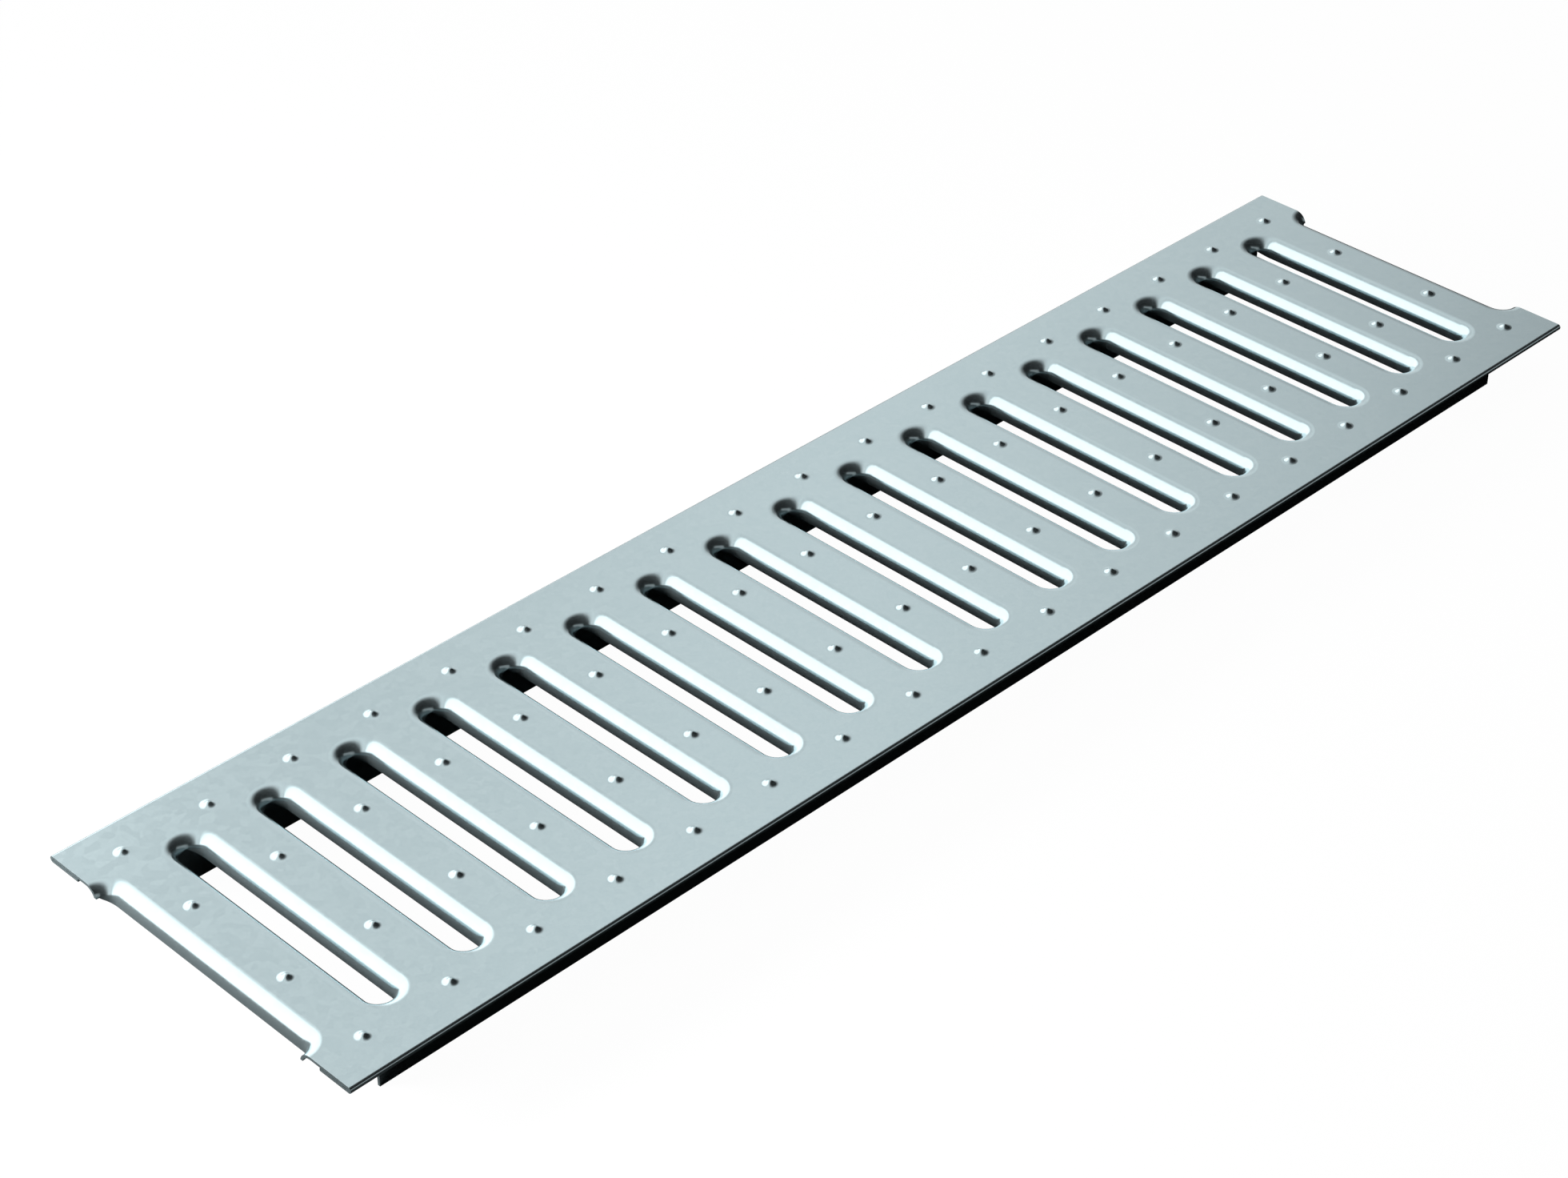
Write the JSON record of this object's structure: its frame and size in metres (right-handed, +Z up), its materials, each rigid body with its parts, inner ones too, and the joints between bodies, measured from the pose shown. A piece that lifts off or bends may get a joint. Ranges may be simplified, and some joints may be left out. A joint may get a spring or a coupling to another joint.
{
  "type": "channel drain grating",
  "caption": "Slotted grating cover for a linear drainage channel, pressed and folded from one galvanised steel sheet, with anti-slip nubs, hemmed rims and locating legs",
  "frame": {"origin": "under the middle of the grating, level with the feet of its legs", "axes": "+X along the grating, +Y across it, +Z up towards the walking surface"},
  "size_m": [0.5, 0.123, 0.021],
  "materials": {
    "galvanised_steel": "hot-dip galvanised sheet, pale blue-grey, fine mottled spangle, satin"
  },
  "bodies": {
    "root": {"slotted_grating": "galvanised_steel"}
  },
  "joints": []
}
